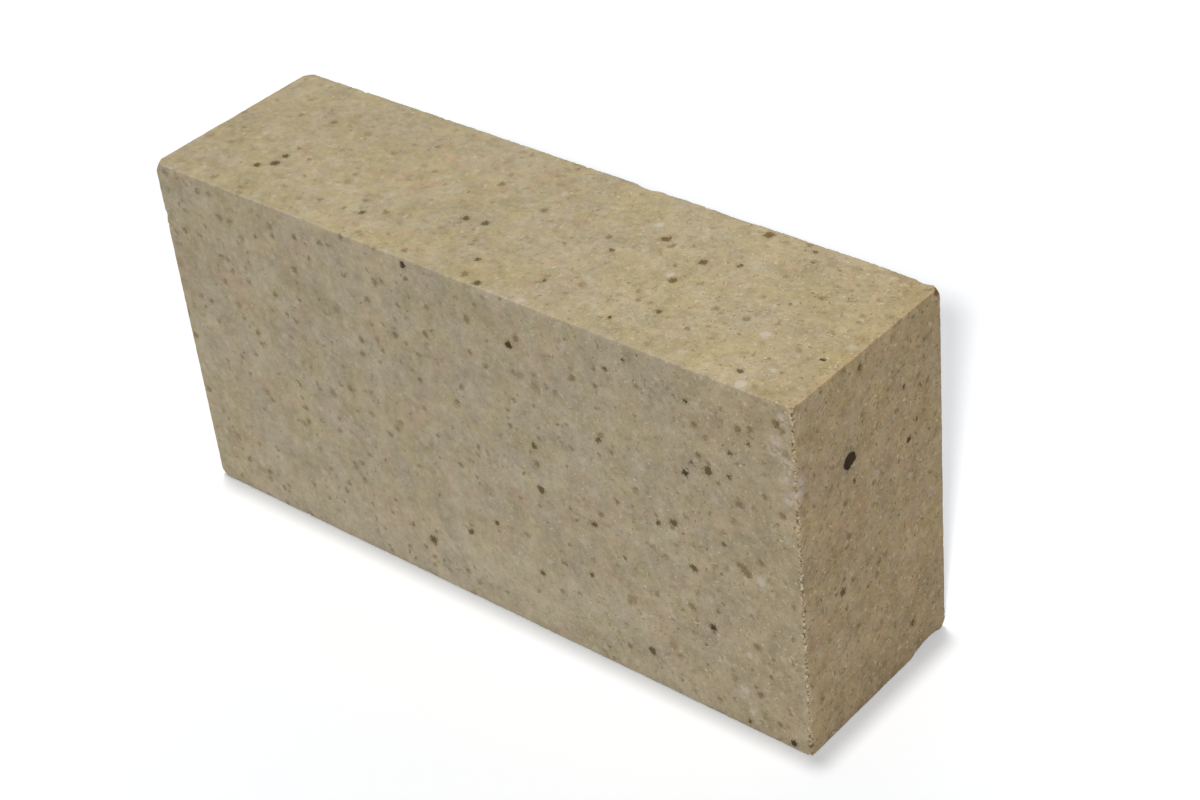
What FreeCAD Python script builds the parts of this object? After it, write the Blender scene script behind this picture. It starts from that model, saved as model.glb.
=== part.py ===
import FreeCAD, Part
import math
import os

# A straight refractory firebrick of the 64 mm series: clay and grog, dry pressed and fired
# as one piece. It stands on a long edge. X runs along its length, Y through its thickness
# with the front at -Y, and Z up its width. The origin is the middle of the face that it
# stands on. All sizes are in millimetres.

# The pressed block, with the small round that the mould and handling leave on every edge
length = 230.0
thickness = 64.0
width = 114.0
arris_radius = 0.3

# Corners lost to handling: how far each break runs from the sharp corner along its three edges
left_front_top_break = 3.0
left_front_bottom_break = 2.6
left_back_top_break = 3.0
left_back_bottom_break = 2.6
right_front_top_break = 1.4
right_front_bottom_break = 1.4
right_back_top_break = 2.6
right_back_bottom_break = 3.4
# A broken corner is a little crowned: the radius of its face, as a multiple of the break
break_crown = 3.0

# Flakes off the edges. Each lies at a distance from the nearest named end of its edge, and
# its depth is measured from the sharp edge, half way between the two faces.
foot_chip_from_back = 9.0
foot_chip_length = 17.0
foot_chip_depth = 1.5
end_chip_from_right = 4.5
end_chip_length = 6.0
end_chip_depth = 0.9
back_chip_from_right = 95.5
back_chip_length = 9.0
back_chip_depth = 0.75

# The pit on the right end, where a grain of iron slag melted: its middle is placed from the
# front face and the top face
pit_from_front = 22.6
pit_from_top = 30.0
pit_across = 4.5
pit_tall = 5.0
pit_depth = 1.0


def block_corner(side_x, side_y, side_z):
    """The sharp corner of the block on the given sides, each -1 or +1."""
    height = width if side_z > 0 else 0.0
    return FreeCAD.Vector(side_x * length / 2, side_y * thickness / 2, height)


def pressed_block():
    """The block as it leaves the mould, with its rounded arrises."""
    block = Part.makeBox(length, thickness, width, block_corner(-1, -1, -1))
    return block.makeFillet(arris_radius, block.Edges)


def corner_break(side_x, side_y, side_z, tip):
    """What a knock takes off one corner: the part of the corner outside a ball that passes
    through each of the three edges at the distance tip."""
    ball_radius = break_crown * tip
    inset = (tip + math.sqrt(3 * ball_radius**2 - 2 * tip**2)) / 3
    corner = block_corner(side_x, side_y, side_z)
    inward = FreeCAD.Vector(-side_x, -side_y, -side_z) * inset
    low = FreeCAD.Vector(*[min(a, b) for a, b in zip(corner - inward, corner + inward)])
    around = Part.makeBox(2 * inset, 2 * inset, 2 * inset, low)
    return around.cut(Part.makeSphere(ball_radius, corner + inward))


def edge_chip(edge_point, outward, chip_length, chip_depth):
    """A shell-shaped flake off an arris: a ball that dips below the sharp edge by the depth
    and crosses it over the length."""
    ball_radius = (chip_length**2 / 4 + chip_depth**2) / (2 * chip_depth)
    middle = edge_point + outward.normalize() * (ball_radius - chip_depth)
    return Part.makeSphere(ball_radius, middle)


def corner_breaks():
    """The eight broken corners."""
    return [
        corner_break(-1, -1, +1, left_front_top_break),
        corner_break(-1, -1, -1, left_front_bottom_break),
        corner_break(-1, +1, +1, left_back_top_break),
        corner_break(-1, +1, -1, left_back_bottom_break),
        corner_break(+1, -1, +1, right_front_top_break),
        corner_break(+1, -1, -1, right_front_bottom_break),
        corner_break(+1, +1, +1, right_back_top_break),
        corner_break(+1, +1, -1, right_back_bottom_break),
    ]


def edge_chips():
    """The flakes: one at the foot of the right end and two along the back of the top."""
    foot = block_corner(+1, +1, -1) - FreeCAD.Vector(0, foot_chip_from_back, 0)
    end = block_corner(+1, +1, +1) - FreeCAD.Vector(end_chip_from_right, 0, 0)
    back = block_corner(+1, +1, +1) - FreeCAD.Vector(back_chip_from_right, 0, 0)
    below_the_end = FreeCAD.Vector(1, 0, -1)
    above_the_back = FreeCAD.Vector(0, 1, 1)
    return [
        edge_chip(foot, below_the_end, foot_chip_length, foot_chip_depth),
        edge_chip(end, above_the_back, end_chip_length, end_chip_depth),
        edge_chip(back, above_the_back, back_chip_length, back_chip_depth),
    ]


def slag_pit():
    """The oval hollow on the right end: a ball that dips into the face by the depth, drawn
    out to the pit's width and height."""
    ball_radius = (pit_across**2 / 4 + pit_depth**2) / (2 * pit_depth)
    stretch = FreeCAD.Matrix()
    stretch.scale(1.0, 1.0, pit_tall / pit_across)
    hollow = Part.makeSphere(ball_radius).transformGeometry(stretch)
    front_top = block_corner(+1, -1, +1)
    hollow.translate(front_top + FreeCAD.Vector(ball_radius - pit_depth, pit_from_front, -pit_from_top))
    return hollow


def firebrick():
    """The whole brick, one solid."""
    return pressed_block().cut(corner_breaks() + edge_chips() + [slag_pit()])


def main():
    os.makedirs("parts", exist_ok=True)
    brick = firebrick()
    solid = brick.Solids[0]
    print("solids", len(brick.Solids), "valid", solid.isValid(), "faces", len(solid.Faces))
    print("size", solid.BoundBox, "volume in litres", round(solid.Volume / 1e6, 4))
    solid.exportStep("parts/firebrick.step")


main()
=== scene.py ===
# %% [markdown]
# # A refractory firebrick
# A firebrick is a block of clay and grog, which is clay that was fired once already and crushed.
# It is pressed dry in a steel die and fired as one piece, so there is only one thing to dress.
# The CAD model gives its true size, its chips and its broken corners. This lesson adds what a
# plain block lacks: a gritty skin, crumbled edges, mottled clay and the iron spots.
# Everything is in the frame of the CAD model, so nothing has to be fitted.

# %% Load the frame
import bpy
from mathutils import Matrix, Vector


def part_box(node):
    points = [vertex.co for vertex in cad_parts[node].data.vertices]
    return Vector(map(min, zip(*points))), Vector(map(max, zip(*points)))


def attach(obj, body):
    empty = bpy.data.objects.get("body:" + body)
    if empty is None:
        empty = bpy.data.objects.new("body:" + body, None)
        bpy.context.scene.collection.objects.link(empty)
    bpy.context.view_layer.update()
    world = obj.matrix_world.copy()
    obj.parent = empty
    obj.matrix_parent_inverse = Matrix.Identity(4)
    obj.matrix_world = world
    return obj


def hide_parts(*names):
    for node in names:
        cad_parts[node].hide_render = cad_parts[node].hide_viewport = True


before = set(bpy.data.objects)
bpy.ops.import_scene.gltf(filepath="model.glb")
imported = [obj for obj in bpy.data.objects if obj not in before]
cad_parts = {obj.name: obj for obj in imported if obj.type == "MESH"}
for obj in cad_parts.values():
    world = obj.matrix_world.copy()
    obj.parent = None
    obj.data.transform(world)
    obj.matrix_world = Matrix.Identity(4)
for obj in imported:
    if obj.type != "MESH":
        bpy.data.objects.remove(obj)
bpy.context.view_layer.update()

import math

import bmesh
import bpy
import numpy as np
from mathutils import Euler, Vector, kdtree, noise
from mathutils.bvhtree import BVHTree

MM = 0.001
low, high = (np.array(corner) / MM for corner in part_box("firebrick"))
sizes = high - low
print("brick in mm, from", low.round(2), "to", high.round(2))

# %% [markdown]
# ## The camera
# The photograph looks down on the front, the top and the right end, a little tilted. Such a view
# can be found by eye, by turning the camera until the edges agree. Here it was solved from the
# seven corners that show, which gives the place, the three angles and the focal length at once.
# The image is 1200 by 800 pixels, and the lens sees its whole width on a 36 mm sensor.

# %% Place the camera
PHOTO_WIDTH, PHOTO_HEIGHT = 1200, 800
SENSOR_WIDTH = 36.0
FOCAL_PIXELS = 2495.8
CAMERA_MM = (415.92, -416.32, 463.19)
CAMERA_DEGREES = (54.839, 5.203, 39.757)
FARTHEST_SEEN = 20.0
camera_place = Vector(CAMERA_MM) * MM
camera_turn = Euler([math.radians(angle) for angle in CAMERA_DEGREES])

camera_data = bpy.data.cameras.new("camera")
camera_data.sensor_width = SENSOR_WIDTH
camera_data.lens = FOCAL_PIXELS / PHOTO_WIDTH * SENSOR_WIDTH
camera_data.clip_end = FARTHEST_SEEN
camera = bpy.data.objects.new("camera", camera_data)
camera.location = camera_place
camera.rotation_euler = camera_turn
bpy.context.scene.collection.objects.link(camera)
bpy.context.scene.camera = camera
print("lens", round(camera_data.lens, 2), "mm, distance", round(camera_place.length, 3), "m")

# %% [markdown]
# ## Light
# The brick was shot in soft light on white, and a narrow shadow runs along its foot. A studio would
# hang one lamp above and stand another beside the camera. Area lamps could do that, but they would
# light the floor unevenly, so sun lamps are used: the whole floor gets the same light and stays
# white. The lamp above leans a little to the back and to the left, so that its shadow peeps out in
# front and at the right. The lamp beside the camera stands slightly to its left, and its shadow hides
# behind the brick but for a strip at the right. A wide lamp behind only softens the far faces. Each
# lamp is given by the brightness of a white surface that faces it, and on the top of the brick they
# add up to nearly one, where a colour shows as it is written.

# %% Lamps, each with its direction from the brick, its brightness and its spread in degrees
lamps = {
    "lamp_above": ((-0.047, 0.029, 1.0), 0.41, 3.5),
    "lamp_by_camera": ((0.51, -0.86, 0.69), 0.555, 3.5),
    "lamp_behind": ((-0.60, 0.75, 0.15), 0.33, 70),
}
for name, (towards, brightness, spread) in lamps.items():
    lamp = bpy.data.lights.new(name, "SUN")
    lamp.energy = math.pi * brightness
    lamp.angle = math.radians(spread)
    holder = bpy.data.objects.new(name, lamp)
    holder.rotation_euler = Vector(towards).to_track_quat("Z", "Y").to_euler()
    bpy.context.scene.collection.objects.link(holder)
print("lamps", list(lamps))

# %% [markdown]
# ## White surroundings
# Behind the brick the photograph is pure white, and the room around it lit the brick a little from
# all sides. One white sky could do both, but a sky that looks white would flood the brick with
# light. A Light Path node tells the two apart: rays that end in the picture meet a sky of strength
# one, and all others meet a dim one. Nodes can be laid by hand in the Shader Editor. Here small
# helpers lay them, about one line for each.

# %% Helpers for nodes
def link_in(tree, node, inputs):
    """Sets each input of a node, by name or number, to a value or to another node's output."""
    for key, value in inputs.items():
        if isinstance(value, bpy.types.NodeSocket):
            tree.links.new(value, node.inputs[key])
        else:
            node.inputs[key].default_value = value


def add(tree, kind, inputs, **settings):
    """Adds a node with its settings and its inputs."""
    node = tree.nodes.new(kind)
    for name, value in settings.items():
        setattr(node, name, value)
    link_in(tree, node, inputs)
    return node


def maths(tree, operation, *values):
    """A Math node of two or three values, as its output."""
    return add(tree, "ShaderNodeMath", dict(enumerate(values)), operation=operation).outputs[0]


def seen_directly(tree):
    """One for rays that end in the picture: from the camera, mirrored or through glass."""
    path = tree.nodes.new("ShaderNodeLightPath").outputs
    shown = maths(tree, "MAXIMUM", path["Is Camera Ray"], path["Is Glossy Ray"])
    return maths(tree, "MAXIMUM", shown, path["Is Transmission Ray"])


print("node helpers ready")

# %% A world that lights softly and looks white
WHITE = (1.0, 1.0, 1.0, 1.0)
WORLD_BRIGHTNESS = 0.13
world = bpy.data.worlds.new("white_room")
bpy.context.scene.world = world
bpy.context.scene.view_settings.view_transform = "Standard"
world.use_nodes = True
tree = world.node_tree
tree.nodes.clear()
lit = add(tree, "ShaderNodeBackground", {"Color": WHITE, "Strength": WORLD_BRIGHTNESS})
plain = add(tree, "ShaderNodeBackground", {"Color": WHITE, "Strength": 1.0})
both = add(tree, "ShaderNodeMixShader", {0: seen_directly(tree), 1: lit.outputs[0], 2: plain.outputs[0]})
add(tree, "ShaderNodeOutputWorld", {"Surface": both.outputs[0]})
print("world gives", WORLD_BRIGHTNESS)

# %% [markdown]
# ## Floor
# The floor is white paper. A plain white floor would turn grey all round the brick, because the
# brick hides part of the room from it. So the floor glows a little where the camera sees it, just
# enough to stay white, and only the true shadow shows. The glow is slightly blue, because the brick
# throws yellow light into its own shadow, and in the photograph that shadow is a neutral grey. The
# light that the floor throws back at the brick comes from a second, greyer colour that the camera
# never sees.

# %% A white floor that keeps the shadow
FLOOR_HALF = 4.0
FLOOR_BOUNCE = (0.57, 0.57, 0.57, 1.0)
FLOOR_GLOW = 0.095
GLOW_COLOUR = (0.84, 1.0, 1.22, 1.0)
floor_mesh = bpy.data.meshes.new("floor")
corner_signs = ((-1, -1), (1, -1), (1, 1), (-1, 1))
floor_corners = [(x * FLOOR_HALF, y * FLOOR_HALF, 0) for x, y in corner_signs]
floor_mesh.from_pydata(floor_corners, [], [(0, 1, 2, 3)])
floor = bpy.data.objects.new("floor", floor_mesh)
bpy.context.scene.collection.objects.link(floor)

paper = bpy.data.materials.new("white_paper")
paper.use_nodes = True
tree = paper.node_tree
tree.nodes.clear()
glow = add(tree, "ShaderNodeEmission", {"Color": GLOW_COLOUR, "Strength": FLOOR_GLOW})
matt = add(tree, "ShaderNodeBsdfDiffuse", {"Color": WHITE})
shown = add(tree, "ShaderNodeAddShader", {0: glow.outputs[0], 1: matt.outputs[0]})
grey = add(tree, "ShaderNodeBsdfDiffuse", {"Color": FLOOR_BOUNCE})
both = add(tree, "ShaderNodeMixShader", {0: seen_directly(tree), 1: grey.outputs[0], 2: shown.outputs[0]})
add(tree, "ShaderNodeOutputMaterial", {"Surface": both.outputs[0]})
floor_mesh.materials.append(paper)
print("floor", 2 * FLOOR_HALF, "m wide")

# %% [markdown]
# ## Iron spots
# Grains of iron ore in the clay melt in the kiln and leave dark round spots. Each brick has its own,
# so the larger ones are set where this brick has them. They were read as pixels of the
# photograph, and the camera above turns a pixel into a place: the ray through it meets the top, the
# front or the right end. The faces that do not show get spots of like size, strewn at random.

# %% Dark spots read off, by radius in mm
spots_read = {}
spots_read["black"] = {
    1.2: [(508, 345), (794, 744)],
    1.0: [(909, 439), (402, 265), (685, 473), (714, 628)],
    0.65: [(685, 401), (823, 359.5), (609.5, 317)],
}
spots_read["iron"] = {
    1.4: [(275, 163), (541, 490), (708, 471), (433.5, 540)],
    1.2: [(285.5, 156), (257, 165), (466, 218), (486, 223), (703, 262), (477, 283), (694, 568.5),
          (843, 592), (674, 523), (653, 651.5)],
    0.95: [(478, 259), (362, 212), (497, 523), (472, 532), (543, 573.5), (598, 440), (595, 524.5),
           (860, 367.5), (740, 370.5), (658, 523), (592, 575), (913, 622.5), (659, 311.5), (534, 446)],
    0.75: [(544, 280), (691, 462.5), (605, 369.5), (815, 252), (729.5, 453.5), (729, 477), (740, 266),
           (750.5, 722), (748.5, 445), (724, 545), (812, 747), (854.5, 481), (904, 387), (917, 419),
           (611, 250)],
    0.6: [(622.5, 360)],
}
print("dark spots read:", sum(len(pixels) for read in spots_read.values() for pixels in read.values()))

# %% Brown and faint spots
spots_read["brown"] = {
    1.2: [(466, 320), (544.5, 210), (294, 269.5), (775.6, 424)],
    1.1: [(698, 455.5), (692.5, 607), (395, 335), (374.5, 282), (334, 122), (425, 334), (361, 340),
          (211.5, 301), (196, 335), (209, 389)],
    1.0: [(340, 237), (319, 243), (366, 200), (572, 378), (461, 465), (694, 425), (762, 563.5),
          (749.5, 429), (879, 562), (362.6, 354), (502, 184), (270, 472), (760, 695.5), (764.5, 497),
          (630, 645.5), (737, 428.5)],
    0.95: [(294, 237.5), (386, 212), (850, 536), (859, 625), (457, 402), (420, 380), (601, 515),
           (822, 298), (405, 250), (747, 319), (367, 300), (928, 379), (468, 571), (258, 333),
           (347, 490), (275, 295), (823, 699)],
    0.85: [(471, 244), (814, 262), (609, 237), (426, 307), (595, 386), (886, 554), (510, 426),
           (929, 289), (810, 245)],
}
spots_read["faint"] = {
    1.3: [(201, 296), (239, 305), (786, 456)],
    1.05: [(242, 139.5), (334, 394.5), (372, 415), (377, 340), (269, 226), (267, 392), (394, 153),
           (336.5, 311), (343, 367), (271, 479), (239, 192.5), (242, 239), (320, 449)],
    0.9: [(210.5, 135), (347, 182), (356, 174), (299, 198), (320, 389), (424, 408), (340, 430),
          (765, 717), (314, 484)],
    0.85: [(511, 175), (251, 211), (258, 216), (733.5, 521.5), (908, 336), (927, 336)],
}
print("kinds so far:", list(spots_read))

# %% Rusty, pinkish and chalky spots
spots_read["rust"] = {
    1.4: [(666, 239), (769, 235)],
    1.2: [(937, 292), (673, 280)],
}
spots_read["russet"] = {
    1.3: [(743.5, 569.5), (748, 574)],
    1.0: [(738.5, 565)],
    1.15: [(464, 274), (515, 338), (739.5, 505), (782.5, 516), (536.6, 464), (757, 647)],
    0.9: [(846, 503), (720, 699)],
}
spots_read["blush"] = {
    1.8: [(632, 599.5)],
    1.4: [(673, 645), (519, 375), (535, 387), (238, 436)],
    1.1: [(401, 424), (441, 227), (304, 423), (368, 134)],
}
spots_read["chalk"] = {
    1.5: [(762, 582.5), (741, 384)],
    1.3: [(659, 225), (765, 335)],
    0.95: [(670, 275), (773, 370), (753, 712), (750, 655)],
}
spot_counts = {kind: sum(map(len, read.values())) for kind, read in spots_read.items()}
print("spots read:", spot_counts)

# %% From a pixel to a place on the brick
faces_that_show = {"top": (2, high[2]), "front": (1, low[1]), "right_end": (0, high[0])}


def on_brick(pixel):
    """The point in mm where the ray through a pixel of the photograph meets the brick."""
    ray = Vector((pixel[0] - PHOTO_WIDTH / 2, PHOTO_HEIGHT / 2 - pixel[1], -FOCAL_PIXELS))
    ray = np.array(camera_turn.to_matrix() @ ray)
    eye = np.array(camera_place) / MM
    met = []
    for axis, level in faces_that_show.values():
        point = eye + ray * (level - eye[axis]) / ray[axis]
        outside = np.maximum(low - point, point - high).max()
        met.append((outside, point))
    return np.clip(min(met, key=lambda m: m[0])[1], low, high)


def set_down(read):
    """The places and radii of marks that were read as pixels by radius."""
    return [(on_brick(pixel), radius) for radius, pixels in read.items() for pixel in pixels]


slag_pit = {2.6: [(850, 461)]}
print("the slag pit lies at", set_down(slag_pit)[0][0].round(1), "mm")

# %% All the spots that show, with the colour and the strength of each kind
spot_paint = {
    "slag": (0.035, 0.020, 0.011, 0.96),
    "black": (0.050, 0.026, 0.006, 0.92),
    "iron": (0.100, 0.062, 0.016, 0.84),
    "brown": (0.130, 0.080, 0.010, 0.56),
    "faint": (0.130, 0.080, 0.010, 0.36),
    "rust": (0.170, 0.094, 0.024, 0.88),
    "russet": (0.175, 0.100, 0.035, 0.62),
    "blush": (0.220, 0.100, 0.030, 0.40),
    "chalk": (0.640, 0.590, 0.490, 0.66),
}
spots = [(place, radius, "slag") for place, radius in set_down(slag_pit)]
for kind, read in spots_read.items():
    spots += [(place, radius, kind) for place, radius in set_down(read)]
print("spots that show:", len(spots))

# %% Spots strewn on the hidden faces
SEED = 64
AREA_OF_ONE_SPOT = 230
SMALLEST_HIDDEN, RANGE_HIDDEN = 0.7, 0.6
draw = np.random.default_rng(SEED)
hidden_kinds = (["black"] + 3 * ["iron"] + 4 * ["brown"] + 4 * ["faint"] + 2 * ["russet", "blush"]
                + ["chalk"])
for axis, level in ((2, low[2]), (1, high[1]), (0, low[0])):
    for _ in range(int(sizes.prod() / sizes[axis] / AREA_OF_ONE_SPOT)):
        point = low + sizes * draw.random(3)
        point[axis] = level
        kind = draw.choice(hidden_kinds)
        spots.append((point, SMALLEST_HIDDEN + RANGE_HIDDEN * draw.random(), kind))
spot_places = np.array([spot[0] for spot in spots])
spot_radii = np.array([spot[1] for spot in spots])
spot_tints = np.array([spot_paint[spot[2]] for spot in spots])
print("spots in all:", len(spots))

# %% [markdown]
# ## The body
# The CAD solid is smooth, and its flat faces are a few long triangles. Relief needs many small, even
# faces. Subdividing would only make the long triangles longer, so a voxel remesh first rebuilds
# the whole form as a fine net. Along the edges, where grains have fallen out, the net is split once
# more. Then it is moved point by point with numpy, and at the end a Decimate modifier takes out
# the points that a quiet surface does not need. It can push others outwards by a few thousandths
# of a millimetre, so all are held inside the box of the CAD model.

# %% A fine, even net of the CAD form
NET_SIZE = 0.55


def applied(mesh, kind, **settings):
    """The mesh with one modifier applied to it."""
    carrier = bpy.data.objects.new("carrier", mesh)
    bpy.context.scene.collection.objects.link(carrier)
    modifier = carrier.modifiers.new(kind.lower(), kind)
    for name, value in settings.items():
        setattr(modifier, name, value)
    ready = carrier.evaluated_get(bpy.context.evaluated_depsgraph_get())
    made = bpy.data.meshes.new_from_object(ready)
    bpy.data.objects.remove(carrier)
    return made


cad_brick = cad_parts["firebrick"]
net = applied(cad_brick.data.copy(), "REMESH", mode="VOXEL", voxel_size=NET_SIZE * MM)
print("net of", len(net.vertices), "points")

# %% A finer net along the edges
EDGE_BAND = 1.5


def numbers(collection, name, width):
    """One named value of every element, as rows."""
    found = np.empty(len(collection) * width, np.float32)
    collection.foreach_get(name, found)
    return found.reshape(-1, width).astype(float)


def arris_reach(points):
    """How far each point lies from the nearest sharp edge of the block, in mm."""
    gaps = np.minimum(points - low, high - points)
    return np.sort(gaps, axis=1)[:, 1]


in_band = arris_reach(numbers(net.vertices, "co", 3) / MM) < EDGE_BAND
work = bmesh.new()
work.from_mesh(net)
work.verts.ensure_lookup_table()
split = [e for e in work.edges if in_band[e.verts[0].index] and in_band[e.verts[1].index]]
bmesh.ops.subdivide_edges(work, edges=split, cuts=1, use_grid_fill=True)
print("split", len(split), "edges")

# %% Lay the net back on the CAD form
solid = BVHTree.FromObject(cad_brick, bpy.context.evaluated_depsgraph_get())
for vert in work.verts:
    vert.co = solid.find_nearest(vert.co)[0]
work.normal_update()
work.to_mesh(net)
work.free()
points = numbers(net.vertices, "co", 3) / MM
normals = numbers(net.vertices, "normal", 3)
reach = arris_reach(points)
print("net of", len(points), "points")

# %% [markdown]
# ## Relief
# Pressing leaves a flat face, but not a perfect one: it waves by a tenth of a millimetre and is
# gritty. All of it lies below the true face, so the relief only cuts in and the brick keeps its size.
# A Displace modifier could do it with a texture. Blender's own noise does it here, because numpy can
# then hold it back at the face: once with waves some centimetres wide and once with bumps like grains.

# %% Waves and grit, each with its height and its width in mm
waves = ((0.05, 40), (0.03, 13))
GRIT_HEIGHT, GRIT_WIDTH = 0.04, 2.6
SKIN = 0.04


def bumps(points, width, octaves=2):
    """Smooth noise of about -1 to 1 with bumps of the given width in mm."""
    return np.array([noise.fractal(p, 1.0, 2.0, octaves) for p in (points / width).tolist()])


wave = sum(height * bumps(points, width) for height, width in waves)
grit = GRIT_HEIGHT * bumps(points, GRIT_WIDTH)
relief = np.minimum(wave + grit - SKIN, 0)
print("relief from", relief.min().round(3), "to", relief.max().round(3), "mm")

# %% [markdown]
# ## Crumbled edges
# An edge of a firebrick is never quite sharp: grains fall out of it when bricks knock together. The
# right front edge has lost most, and dark holes and pale crumbs follow each other down its
# whole length. The back of the top has worn in long, shallow waves, and the rest has hardly suffered.
# A Bevel would only round the edges evenly. So noise decides where grains are missing, and how
# many depends on the edge.

# %% Grains missing from the edges
EDGE_WIDTH = 3
WAVY_FROM = -40
FINE_ALL, FINE_RIGHT_FRONT, FINE_TOP_BACK = 0.12, 0.6, 0.25
LONG_ALL, LONG_RIGHT_FRONT, LONG_TOP_BACK = 0.08, 0.3, 0.4


def near(values, target):
    """One at the target, falling to nothing over the width of an edge."""
    return np.clip(1 - np.abs(values - target) / EDGE_WIDTH, 0, 1)


def right_front_edge(points):
    """One on the right front edge, falling to nothing away from it."""
    return near(points[:, 0], high[0]) * near(points[:, 1], low[1])


def fallen_out(width, share, depth):
    """Where noise of the given width has taken grains, down to a depth from the sharp edge in mm."""
    return np.clip(bumps(points, width) + share, 0, 1) * np.clip(1 - reach / depth, 0, 1)


right_front = right_front_edge(points)
top_back = near(points[:, 2], high[2]) * near(points[:, 1], high[1])
wavy_part = top_back * (points[:, 0] > WAVY_FROM)
fine_wear = FINE_ALL + FINE_RIGHT_FRONT * right_front + FINE_TOP_BACK * top_back
long_wear = LONG_ALL + LONG_TOP_BACK * wavy_part + LONG_RIGHT_FRONT * right_front
crumbs = fine_wear * fallen_out(width=0.9, share=0.05, depth=1.3)
dips = long_wear * fallen_out(width=11, share=0.1, depth=2.0)
relief -= crumbs + dips
print("deepest crumb", crumbs.max().round(2), "mm")

# %% [markdown]
# ## Holes, pores and nicks
# Where a whole grain has gone, it leaves a round hole. Those near the top of the right front edge
# were read off, and the lower part of that edge gets its own at random. Gas leaves small pores on
# all faces, and two nicks sit high on the left front edge. Balls could be cut out of the net with a
# Boolean, but hundreds of them would be slow and would tear it. So each one is pressed in: the points
# within its radius move inwards, and most of all those in its middle.

# %% Holes on the right front edge, read off above and strewn below
holes = set_down({
    0.6: [(793, 418), (796, 478), (792, 488), (797, 487), (797, 497), (798, 510), (799, 522), (764, 399),
          (768, 400), (773, 403), (768, 412)],
    1.0: [(775.6, 424), (791, 410), (796, 410)],
})
LOWEST_HOLE, STREWN_BELOW = 2.0, 0.7 * high[2]
IN_FROM_EDGE = 0.6
SMALLEST_HOLE, RANGE_HOLE = 0.35, 0.4
LEAST_STEP, RANGE_STEP = 1.0, 3.5
height = LOWEST_HOLE
while height < STREWN_BELOW:
    hole_at = (high[0] - IN_FROM_EDGE * draw.random(), low[1] + IN_FROM_EDGE * draw.random(), height)
    holes.append((hole_at, SMALLEST_HOLE + RANGE_HOLE * draw.random()))
    height += LEAST_STEP + RANGE_STEP * draw.random()
print("holes on the edge:", len(holes))

# %% Pores strewn on all faces
PORES = 380
SMALLEST_PORE, RANGE_PORE = 0.35, 0.55
share_of_axis = [0.2, 0.5, 0.3]
for _ in range(PORES):
    axis, far_side = draw.choice(3, p=share_of_axis), draw.random() < 0.5
    hole_at = low + sizes * draw.random(3)
    hole_at[axis] = high[axis] if far_side else low[axis]
    holes.append((hole_at, SMALLEST_PORE + RANGE_PORE * draw.random() ** 2))
print("holes and pores:", len(holes))

# %% Press nicks, holes and spots into the net
NICK_DEPTH, HOLE_DEPTH, SPOT_DEPTH = 0.5, 0.42, 0.15
HOLE_RIM = 1.2
ROUNDNESS = 1.5
nicks = set_down({2.0: [(168, 215)], 1.6: [(171, 226)]})
wide_holes = [(hole_at, HOLE_RIM * radius) for hole_at, radius in holes]
shallow_spots = list(zip(spot_places[1:], spot_radii[1:]))


def dents(points, marks):
    """A round hollow at each mark, as a share of its depth, from 0 to 1."""
    finder = kdtree.KDTree(len(points))
    for index, point in enumerate(points):
        finder.insert(point, index)
    finder.balance()
    found = np.zeros(len(points))
    for mark_at, radius in marks:
        for _, index, gap in finder.find_range(mark_at, radius):
            found[index] = max(found[index], (1 - (gap / radius) ** 2) ** ROUNDNESS)
    return found


relief -= NICK_DEPTH * dents(points, nicks)
relief -= HOLE_DEPTH * dents(points, wide_holes)
relief -= SPOT_DEPTH * dents(points, shallow_spots)
points = np.clip(points + normals * relief[:, None], low, high)
net.vertices.foreach_set("co", (points * MM).astype(np.float32).ravel())
net.update()
print("lowest point", points[:, 2].min().round(3), "mm")

# %% Take out the points that add nothing
MOST_TRIANGLES = 188000
net.calc_loop_triangles()
keep = MOST_TRIANGLES / len(net.loop_triangles)
body_mesh = applied(net, "DECIMATE", decimate_type="COLLAPSE", ratio=keep)
body_mesh = applied(body_mesh, "TRIANGULATE")
inside = np.clip(numbers(body_mesh.vertices, "co", 3), low * MM, high * MM)
body_mesh.vertices.foreach_set("co", inside.astype(np.float32).ravel())
body_mesh.update()
body_mesh.name = "firebrick_body"
body_mesh.materials.clear()
body_mesh.polygons.foreach_set("use_smooth", np.ones(len(body_mesh.polygons), bool))
body = bpy.data.objects.new("firebrick_body", body_mesh)
bpy.context.scene.collection.objects.link(body)
print("body of", len(body_mesh.polygons), "triangles")

# %% [markdown]
# ## What the finish has to know
# A material can read values that are stored on the mesh. A painted picture could hold them too, but
# it would have to be kept beside the script. Stored here are how near an edge each point is, how badly
# that edge has crumbled, where the holes and the dust are, and the way from each corner of a triangle
# to the nearest spot. The last one is kept per corner, not per point, so that each triangle sees
# only one spot and the spot stays sharp, however large the triangle is.

# %% Store edges, holes and dust on the points
points = numbers(body_mesh.vertices, "co", 3) / MM
dust = set_down({
    2.6: [(790, 478), (799, 497), (776, 441)],
    2.4: [(787, 465), (745, 690)],
    2.2: [(801, 482), (782, 421), (774, 452), (789, 500)],
    2.0: [(520, 300)],
})


def store(name, kind, domain, field, values):
    """Writes one value per point or corner to the mesh."""
    layer = body_mesh.attributes.new(name, kind, domain)
    layer.data.foreach_set(field, np.asarray(values, np.float32).ravel())


store("reach", "FLOAT", "POINT", "value", arris_reach(points))
store("crumbled", "FLOAT", "POINT", "value", right_front_edge(points))
store("hole", "FLOAT", "POINT", "value", dents(points, wide_holes))
store("dust", "FLOAT", "POINT", "value", dents(points, dust))
print("stored", [a.name for a in body_mesh.attributes if a.domain == "POINT"])

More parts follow.
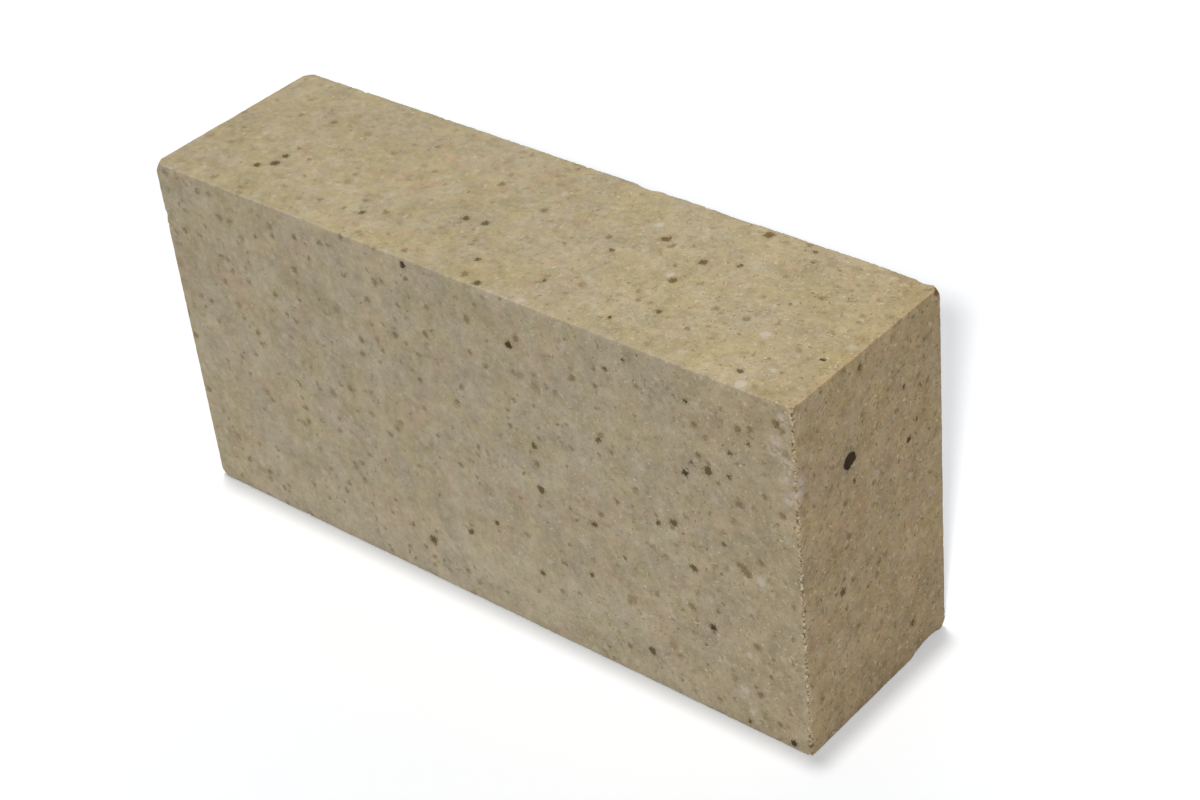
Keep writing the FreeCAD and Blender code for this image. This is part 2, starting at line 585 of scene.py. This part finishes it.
# %% Find the spot nearest to each triangle
CHUNK = 8000
corners = numbers(body_mesh.loops, "vertex_index", 1).astype(int).reshape(-1, 3)
middles = points[corners].mean(axis=1)
nearest = np.empty(len(middles), int)
for first in range(0, len(middles), CHUNK):
    part = middles[first:first + CHUNK, None, :]
    gaps = np.sqrt(((part - spot_places[None]) ** 2).sum(axis=2)) - spot_radii[None]
    nearest[first:first + CHUNK] = gaps.argmin(axis=1)
ways = (points[corners] - spot_places[nearest][:, None, :]) / spot_radii[nearest][:, None, None]
print("triangles in a spot:", int((np.linalg.norm(ways, axis=2).min(axis=1) < 1).sum()))

# %% Store the way to that spot, its paint and how ragged it is
SLAG_FRAY = 0.35
frays = 1 / spot_radii
frays[0] *= SLAG_FRAY
store("spot_way", "FLOAT_VECTOR", "CORNER", "vector", ways)
store("spot_tint", "FLOAT_COLOR", "CORNER", "color", np.repeat(spot_tints[nearest], 3, axis=0))
store("spot_fray", "FLOAT", "CORNER", "value", np.repeat(frays[nearest], 3))
print("stored", [a.name for a in body_mesh.attributes if a.name.startswith("spot")])

# %% [markdown]
# ## A flat layout of the six faces
# Other programs show the finish as one picture that is wrapped round the brick. Blender can unfold a
# mesh for that by itself, but a rough skin comes out torn into thousands of scraps. The brick is a
# box, so its six faces are laid side by side instead, like a carton cut open. Each triangle belongs
# to the face that it lies nearest to, also when it is the wall of a hole.

# %% Lay the six faces side by side
SHEET_GAP = 2.0
long, thick, wide = sizes
sheet = 2 * wide + 2 * thick + 5 * SHEET_GAP
second_column = long + 2 * SHEET_GAP
back_row, top_row = wide + 2 * SHEET_GAP, 2 * wide + 3 * SHEET_GAP
bottom_row, right_row = top_row + thick + SHEET_GAP, thick + 2 * SHEET_GAP
across_up_column_row = [
    (2, 1, second_column, SHEET_GAP), (0, 2, SHEET_GAP, SHEET_GAP), (0, 1, SHEET_GAP, bottom_row),
    (2, 1, second_column, right_row), (0, 2, SHEET_GAP, back_row), (0, 1, SHEET_GAP, top_row)]
face_of = np.concatenate([middles - low, high - middles], axis=1).argmin(axis=1)
flat = np.empty((len(corners), 3, 2))
for face, (across, up, column, row) in enumerate(across_up_column_row):
    chosen = points[corners[face_of == face]] - low
    flat[face_of == face] = chosen[:, :, [across, up]] + (column, row)
layout = body_mesh.uv_layers.new(name="OFBake")
layout.data.foreach_set("uv", (flat / sheet).astype(np.float32).ravel())
print("sheet of", round(sheet), "mm, triangles on each face", np.bincount(face_of, minlength=6).tolist())

# %% [markdown]
# ## The clay
# Fired clay is not one colour. It has soft ochre and grey patches, grains of grog that are paler or
# pinker than the rest, and small brown flecks. All of these lie in the depth of the clay, and a face
# is a cut through it. A picture wrapped round the brick would show seams. So the patterns are solid
# ones, in three dimensions, and run on round every edge and into every chip. Each is a node group of
# its own, which keeps the finish easy to follow.

# %% Helpers for node groups
def new_group(name, inputs, outputs):
    """An empty group with its sockets, as its tree, its inputs and its output node."""
    tree = bpy.data.node_groups.new(name, "ShaderNodeTree")
    for label, kind in inputs.items():
        tree.interface.new_socket(label, in_out="INPUT", socket_type="NodeSocket" + kind)
    for label in outputs:
        tree.interface.new_socket(label, in_out="OUTPUT", socket_type="NodeSocketFloat")
    return tree, tree.nodes.new("NodeGroupInput").outputs, tree.nodes.new("NodeGroupOutput")


def use_group(tree, group, inputs):
    """Places a group in a tree and gives its outputs."""
    return add(tree, "ShaderNodeGroup", inputs, node_tree=group).outputs


def blend(tree, share, under, over):
    """The colour over laid on the colour under."""
    return add(tree, "ShaderNodeMix", {0: share, 6: under, 7: over}, data_type="RGBA").outputs[2]


def ramp(tree, value, start, end):
    """A soft step from 0 at start to 1 at end."""
    inputs = {"Value": value, "From Min": start, "From Max": end}
    return add(tree, "ShaderNodeMapRange", inputs, interpolation_type="SMOOTHSTEP").outputs[0]


print("group helpers ready")

# %% Helpers for noise
def cloud(tree, place, size, detail=3.0, roughness=0.55):
    """Noise with features of the given size in mm, as a grey value and as a colour."""
    inputs = {"Vector": place, "Scale": 1 / size, "Detail": detail, "Roughness": roughness}
    return add(tree, "ShaderNodeTexNoise", inputs).outputs


def vector_maths(tree, operation, *values):
    """A Vector Math node, as its vector output."""
    return add(tree, "ShaderNodeVectorMath", dict(enumerate(values)), operation=operation).outputs[0]


def scaled(tree, vector, amount):
    """A vector or colour times one number."""
    return add(tree, "ShaderNodeVectorMath", {0: vector, "Scale": amount}, operation="SCALE").outputs[0]


def shake(tree, place, size, amount):
    """A way in mm that noise would move each place, which makes outlines ragged."""
    noisy = cloud(tree, place, size, 2.0)["Color"]
    return scaled(tree, vector_maths(tree, "SUBTRACT", noisy, (0.5, 0.5, 0.5)), amount)


print("noise helpers ready")

# %% Soft patches of the ground
BROAD, MIDDLING, SMALL, SANDY = 16.0, 5.0, 1.9, 0.7
BROAD_TONE, MIDDLING_TONE, SMALL_TONE, SANDY_TONE = 0.40, 0.56, 0.40, 0.28
BROAD_HUE, BROAD_BLUSH = 1.15, 0.8
GREY_BELOW, OLIVE_ABOVE = 0.78, 1.22
PINK_FROM, PINKEST = 1.0, 1.30
MIDDLE_TONE = 0.5 * (BROAD_TONE + MIDDLING_TONE + SMALL_TONE + SANDY_TONE)
patchy, given, result = new_group("soft_patches", {"Place": "Vector"}, ["Hue", "Blush", "Tone"])
far = add(patchy, "ShaderNodeSeparateColor", {0: cloud(patchy, given["Place"], BROAD)["Color"]}).outputs
close = add(patchy, "ShaderNodeSeparateColor", {0: cloud(patchy, given["Place"], MIDDLING)["Color"]}).outputs
small = cloud(patchy, given["Place"], SMALL, 2.0)[0]
sandy = cloud(patchy, given["Place"], SANDY, 2.0)[0]
hue = maths(patchy, "MULTIPLY", close[0], 2 - BROAD_HUE)
hue = maths(patchy, "MULTIPLY_ADD", far[0], BROAD_HUE, hue)
pinkness = maths(patchy, "MULTIPLY", close[1], 2 - BROAD_BLUSH)
pinkness = maths(patchy, "MULTIPLY_ADD", far[1], BROAD_BLUSH, pinkness)
tone = maths(patchy, "MULTIPLY", close[2], MIDDLING_TONE)
tone = maths(patchy, "MULTIPLY_ADD", far[2], BROAD_TONE, tone)
tone = maths(patchy, "MULTIPLY_ADD", small, SMALL_TONE, tone)
tone = maths(patchy, "MULTIPLY_ADD", sandy, SANDY_TONE, tone)
link_in(patchy, result, {
    "Hue": ramp(patchy, hue, GREY_BELOW, OLIVE_ABOVE),
    "Blush": ramp(patchy, pinkness, PINK_FROM, PINKEST),
    "Tone": maths(patchy, "ADD", tone, 1 - MIDDLE_TONE)})
print("group", patchy.name)

# %% Grains: specks of many sizes, some bold and some faint
SMALLEST_GRAIN, FAINTEST_GRAIN = 0.4, 0.2
grain_inputs = {"Place": "Vector", "Spacing": "Float", "Radius": "Float", "Softness": "Float"}
grains, given, result = new_group("strewn_grains", grain_inputs, ["Grain"])
scale = maths(grains, "DIVIDE", 1.0, given["Spacing"])
cells = add(grains, "ShaderNodeTexVoronoi", {"Vector": given["Place"], "Scale": scale}).outputs
lot = add(grains, "ShaderNodeSeparateColor", {0: cells["Color"]}).outputs
from_middle = maths(grains, "MULTIPLY", cells["Distance"], given["Spacing"])
grown = maths(grains, "MULTIPLY_ADD", lot[0], 1 - SMALLEST_GRAIN, SMALLEST_GRAIN)
grain_rim = maths(grains, "MULTIPLY", given["Radius"], grown)
grain_core = maths(grains, "MULTIPLY", grain_rim, maths(grains, "SUBTRACT", 1.0, given["Softness"]))
bold = maths(grains, "MULTIPLY", lot[1], lot[1])
bold = maths(grains, "MULTIPLY_ADD", bold, 1 - FAINTEST_GRAIN, FAINTEST_GRAIN)
link_in(grains, result, {
    "Grain": maths(grains, "MULTIPLY", ramp(grains, from_middle, grain_rim, grain_core), bold)})
print("group", grains.name)

# %% Spots from the stored values, with ragged rims that are softer the fainter the spot is
FRAY_SIZE, FRAY = 1.5, 1.5
GNAW_SIZE, GNAW = 0.6, 2.2
SOFTEST_RIM, FIRMER_BY_STRENGTH = 0.95, -0.60
HALO_END, HALO_FULL = 2.2, 0.9
spot_inputs = {"Place": "Vector", "Way": "Vector", "Fray": "Float", "Strength": "Float"}
spotted, given, result = new_group("iron_spots", spot_inputs, ["Core", "Halo"])
fray = scaled(spotted, shake(spotted, given["Place"], FRAY_SIZE, FRAY), given["Fray"])
frayed = vector_maths(spotted, "ADD", given["Way"], fray)
away = add(spotted, "ShaderNodeVectorMath", {0: frayed}, operation="LENGTH").outputs["Value"]
gnawed = maths(spotted, "SUBTRACT", cloud(spotted, given["Place"], GNAW_SIZE, 2.0)[0], 0.5)
gnawed = maths(spotted, "MULTIPLY", gnawed, given["Fray"])
away = maths(spotted, "MULTIPLY_ADD", gnawed, GNAW, away)
melt = maths(spotted, "MULTIPLY_ADD", given["Strength"], FIRMER_BY_STRENGTH, SOFTEST_RIM)
melt = maths(spotted, "MULTIPLY", given["Fray"], melt)
outer_rim = maths(spotted, "ADD", 1.0, melt)
inner_rim = maths(spotted, "SUBTRACT", 1.0, melt)
link_in(spotted, result, {
    "Core": ramp(spotted, away, outer_rim, inner_rim),
    "Halo": ramp(spotted, away, HALO_END, HALO_FULL)})
print("group", spotted.name)

# %% [markdown]
# ## The finish of the brick
# The layers go on in the order in which they lie in the clay: first the ground with its soft patches
# and the hue of each face, with painted cool and warm light on the front and the ends and painted
# floor light at the foot of the front, then grains of each kind, then the shade in the holes and the
# spots, and last the dust, the paler edges, which are partly wear and partly a painted highlight, and
# the pale crumbs with painted shade in the pits between them. All could be one large noise, but then
# nothing could be set by itself. The shader is very rough, because fired clay has no skin that could
# shine. The finest grit is too small for the net and comes from a Bump node.

# %% The ground
GREY_CLAY, OLIVE_CLAY = (0.474, 0.410, 0.294, 1), (0.456, 0.388, 0.212, 1)
PINK_CLAY, PINK_SHARE = (0.491, 0.357, 0.229, 1), 0.9
clay = bpy.data.materials.new("fired_clay")
clay.use_nodes = True
tree = clay.node_tree
tree.nodes.clear()
place = scaled(tree, tree.nodes.new("ShaderNodeTexCoord").outputs["Object"], 1 / MM)
along = add(tree, "ShaderNodeSeparateXYZ", {0: place}).outputs
ground = use_group(tree, patchy, {"Place": place})
colour = blend(tree, ground["Hue"], GREY_CLAY, OLIVE_CLAY)
colour = blend(tree, maths(tree, "MULTIPLY", ground["Blush"], PINK_SHARE), colour, PINK_CLAY)
print("clay has", len(tree.nodes), "nodes so far")

# %% Helpers for the hue of a face
TINT_DEPTH, TINT_EDGE = 1.2, 0.3


def times(first, second):
    """The product of two shares."""
    return maths(tree, "MULTIPLY", first, second)


def fade(axis, start, end):
    """A share that grows from 0 to 1 between two places in mm along an axis."""
    return ramp(tree, along[axis], start, end)


def face_tint(colour, axis, sides, share, paint):
    """Tints the skin of one face or of two opposite ones. The share may be another node's output."""
    number = "XYZ".index(axis)
    skins = []
    if "low" in sides:
        skins.append(fade(axis, low[number] + TINT_DEPTH, low[number] + TINT_EDGE))
    if "high" in sides:
        skins.append(fade(axis, high[number] - TINT_DEPTH, high[number] - TINT_EDGE))
    skin = skins[0] if len(skins) == 1 else maths(tree, "MAXIMUM", *skins)
    return blend(tree, times(skin, share), colour, paint)


print("a skin of", TINT_DEPTH, "mm takes the hue of its face")

# %% The top is ochre in the right half, rusty at its right end and dull at the back left
top_hues = [
    (times(times(fade("X", 30, 118), ground["Hue"]), 0.40), (0.490, 0.385, 0.200, 1)),
    (times(times(fade("Y", -18, -31), ground["Hue"]), 0.40), (0.490, 0.390, 0.205, 1)),
    (times(fade("X", -10, 60), 0.30), (0.545, 0.450, 0.268, 1)),
    (times(fade("X", 92, 112), 0.42), (0.440, 0.316, 0.148, 1)),
    (times(fade("X", -30, -115), 0.25), (0.440, 0.362, 0.232, 1)),
    (times(times(fade("X", 40, -60), fade("Y", 5, 30)), 0.35), (0.425, 0.350, 0.208, 1)),
]
colour = face_tint(colour, "Z", "low high", 0.28, (0.470, 0.370, 0.212, 1))
for share, paint in top_hues:
    colour = face_tint(colour, "Z", "high", share, paint)
print("clay has", len(tree.nodes), "nodes so far")

# %% The front is greyer and the ends the brownest, partly their clay and partly painted cool and warm light; the front is brown at its right with painted floor light at its foot, and the right end is darker low at the back
brown_right = times(fade("X", 50, 115), 0.60)
# Paler low on the front: painted light thrown up from the floor.
painted_floor_light = times(times(times(fade("X", -105, -60), fade("X", 60, 0)), fade("Z", 40, 5)), 0.45)
dark_foot = times(times(fade("Y", -28, 0), fade("Z", 36, 4)), 0.75)
# The front and the back turn greyer: partly their clay, partly painted cool light.
colour = face_tint(colour, "Y", "low high", 0.40, (0.470, 0.402, 0.304, 1))
colour = face_tint(colour, "Y", "low", brown_right, (0.448, 0.360, 0.228, 1))
colour = face_tint(colour, "Y", "low", painted_floor_light, (0.530, 0.460, 0.335, 1))
# Both ends turn browner: partly their clay, partly painted warm light.
colour = face_tint(colour, "X", "low high", 0.42, (0.536, 0.362, 0.187, 1))
colour = face_tint(colour, "X", "high", dark_foot, (0.412, 0.310, 0.180, 1))
colour = scaled(tree, colour, ground["Tone"])
print("clay has", len(tree.nodes), "nodes so far")

# %% Grains of each kind: their shift, spacing, radius, softness, strength and paint
grain_kinds = {
    "large pale grog": ((31, 7, 53), 4.8, 2.3, 0.9, 0.80, (0.580, 0.515, 0.395, 1)),
    "small pale grog": ((11, 83, 5), 2.6, 1.0, 0.9, 0.80, (0.630, 0.562, 0.430, 1)),
    "large brown grains": ((71, 3, 29), 3.6, 1.7, 0.95, 0.90, (0.225, 0.168, 0.080, 1)),
    "small brown grains": ((5, 47, 19), 2.1, 0.80, 0.95, 0.75, (0.230, 0.172, 0.086, 1)),
    "russet blotches": ((43, 61, 97), 9.0, 2.6, 1.0, 0.85, (0.310, 0.185, 0.085, 1)),
    "dark flecks": ((17, 29, 67), 13.0, 1.1, 1.0, 0.9, (0.125, 0.091, 0.045, 1)),
    "white flecks": ((89, 13, 41), 5.5, 0.9, 0.7, 0.90, (0.710, 0.630, 0.480, 1)),
}
RAGGED_SIZE, RAGGED = 1.6, 3.6
ragged = vector_maths(tree, "ADD", place, shake(tree, place, RAGGED_SIZE, RAGGED))


def grains_at(shift, spacing, radius, softness):
    """Where the grains of one kind lie. The shift keeps the kinds apart."""
    moved = vector_maths(tree, "ADD", ragged, shift)
    inputs = {"Place": moved, "Spacing": spacing, "Radius": radius, "Softness": softness}
    return use_group(tree, grains, inputs)["Grain"]


for shift, spacing, radius, softness, strength, paint in grain_kinds.values():
    colour = blend(tree, times(grains_at(shift, spacing, radius, softness), strength), colour, paint)
print("grains:", list(grain_kinds))

# %% Fine flecks, which grow bolder towards the right
FLECK_STRENGTH = 0.80
bolder = times(fade("X", -80, 100), FLECK_STRENGTH)
dark_fine = times(grains_at((23, 37, 11), 1.2, 0.48, 0.5), bolder)
colour = blend(tree, dark_fine, colour, (0.150, 0.105, 0.050, 1))
pale_fine = times(grains_at((53, 19, 73), 1.3, 0.50, 0.5), bolder)
colour = blend(tree, pale_fine, colour, (0.780, 0.676, 0.490, 1))
print("clay has", len(tree.nodes), "nodes so far")

# %% The ends are coarser than the other faces
dark_ends = times(grains_at((0, 0, 0), 2.0, 0.9, 0.7), 0.82)
colour = face_tint(colour, "X", "low high", dark_ends, (0.135, 0.088, 0.038, 1))
pale_ends = times(grains_at((3, 59, 37), 2.2, 0.9, 0.7), 0.85)
colour = face_tint(colour, "X", "low high", pale_ends, (0.790, 0.625, 0.425, 1))
print("clay has", len(tree.nodes), "nodes so far")

# %% Shade in the holes, and the spots
HOLE_SHADE, HALO_SHARE = 0.45, 0.16


def stored(name, output):
    """A value that the mesh carries."""
    return add(tree, "ShaderNodeAttribute", {}, attribute_name=name).outputs[output]


colour = blend(tree, times(stored("hole", "Fac"), HOLE_SHADE), colour, (0.160, 0.118, 0.062, 1))
spot_strength = stored("spot_tint", "Alpha")
spot = use_group(tree, spotted, {
    "Place": place, "Way": stored("spot_way", "Vector"), "Fray": stored("spot_fray", "Fac"),
    "Strength": spot_strength})
spot_core = times(spot["Core"], spot_strength)
spot_halo = times(spot["Halo"], times(spot_strength, HALO_SHARE))
colour = blend(tree, maths(tree, "MAXIMUM", spot_halo, spot_core), colour, stored("spot_tint", "Color"))
print("clay has", len(tree.nodes), "nodes so far")

# %% Dust, and paler edges, partly worn and partly a painted highlight
DUST_SIZE, WEAR_HIGHLIGHT_SIZE = 1.3, 3.0
DUST_SHARE, MOST_DUST, WEAR_HIGHLIGHT_SHARE = 1.2, 0.75, 0.4
patches_of_dust = ramp(tree, cloud(tree, place, DUST_SIZE)[0], 0.40, 0.56)
dusty = times(times(stored("dust", "Fac"), patches_of_dust), DUST_SHARE)
colour = blend(tree, maths(tree, "MINIMUM", dusty, MOST_DUST), colour, (0.640, 0.540, 0.460, 1))
# Paler along every edge: partly worn clay, partly a painted highlight.
on_edge = ramp(tree, stored("reach", "Fac"), 0.8, 0.2)
worn_and_highlit = times(on_edge, ramp(tree, cloud(tree, place, WEAR_HIGHLIGHT_SIZE)[0], 0.52, 0.62))
colour = blend(tree, times(worn_and_highlit, WEAR_HIGHLIGHT_SHARE), colour, (0.600, 0.525, 0.385, 1))
print("clay has", len(tree.nodes), "nodes so far")

# %% Pale crumbs down the right front edge, and painted shade in its small pits
CRUMB_SIZE = 0.75
PALE_SHARE, PIT_SHADE_SHARE = 0.85, 0.9
crumb = cloud(tree, place, CRUMB_SIZE, 2.0)[0]
broken = ramp(tree, stored("crumbled", "Fac"), 0.58, 0.80)
pale_crumb = times(times(broken, ramp(tree, crumb, 0.52, 0.62)), PALE_SHARE)
colour = blend(tree, pale_crumb, colour, (0.700, 0.620, 0.460, 1))
# Dark crumbs: painted shade in the small pits down the edge.
painted_pit_shade = times(times(broken, ramp(tree, crumb, 0.46, 0.36)), PIT_SHADE_SHARE)
colour = blend(tree, painted_pit_shade, colour, (0.130, 0.092, 0.048, 1))
print("clay has", len(tree.nodes), "nodes so far")

# %% Grit and shader
GRIT_BUMP, PIT_BUMP = 0.12, -1.2
CLAY_ROUGHNESS, SPOT_SMOOTHER = 0.95, -0.15
CLAY_SHINE = 0.08
pits = grains_at((0, 0, 0), 2.8, 0.9, 0.9)
fine_grit, coarse_grit = cloud(tree, place, 0.8, 3.0, 0.7)[0], cloud(tree, place, 2.2, 2.0)[0]
grit_height = maths(tree, "MULTIPLY_ADD", pits, PIT_BUMP, maths(tree, "ADD", fine_grit, coarse_grit))
bump = add(tree, "ShaderNodeBump", {"Strength": 1.0, "Distance": GRIT_BUMP * MM, "Height": grit_height})
roughness = maths(tree, "MULTIPLY_ADD", spot_core, SPOT_SMOOTHER, CLAY_ROUGHNESS)
shader = add(tree, "ShaderNodeBsdfPrincipled", {
    "Base Color": colour, "Roughness": roughness, "Specular IOR Level": CLAY_SHINE,
    "Normal": bump.outputs[0]})
add(tree, "ShaderNodeOutputMaterial", {"Surface": shader.outputs[0]})
body_mesh.materials.append(clay)
print("clay has", len(tree.nodes), "nodes")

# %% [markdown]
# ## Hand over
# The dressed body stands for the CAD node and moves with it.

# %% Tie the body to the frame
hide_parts("firebrick")
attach(body, "root")
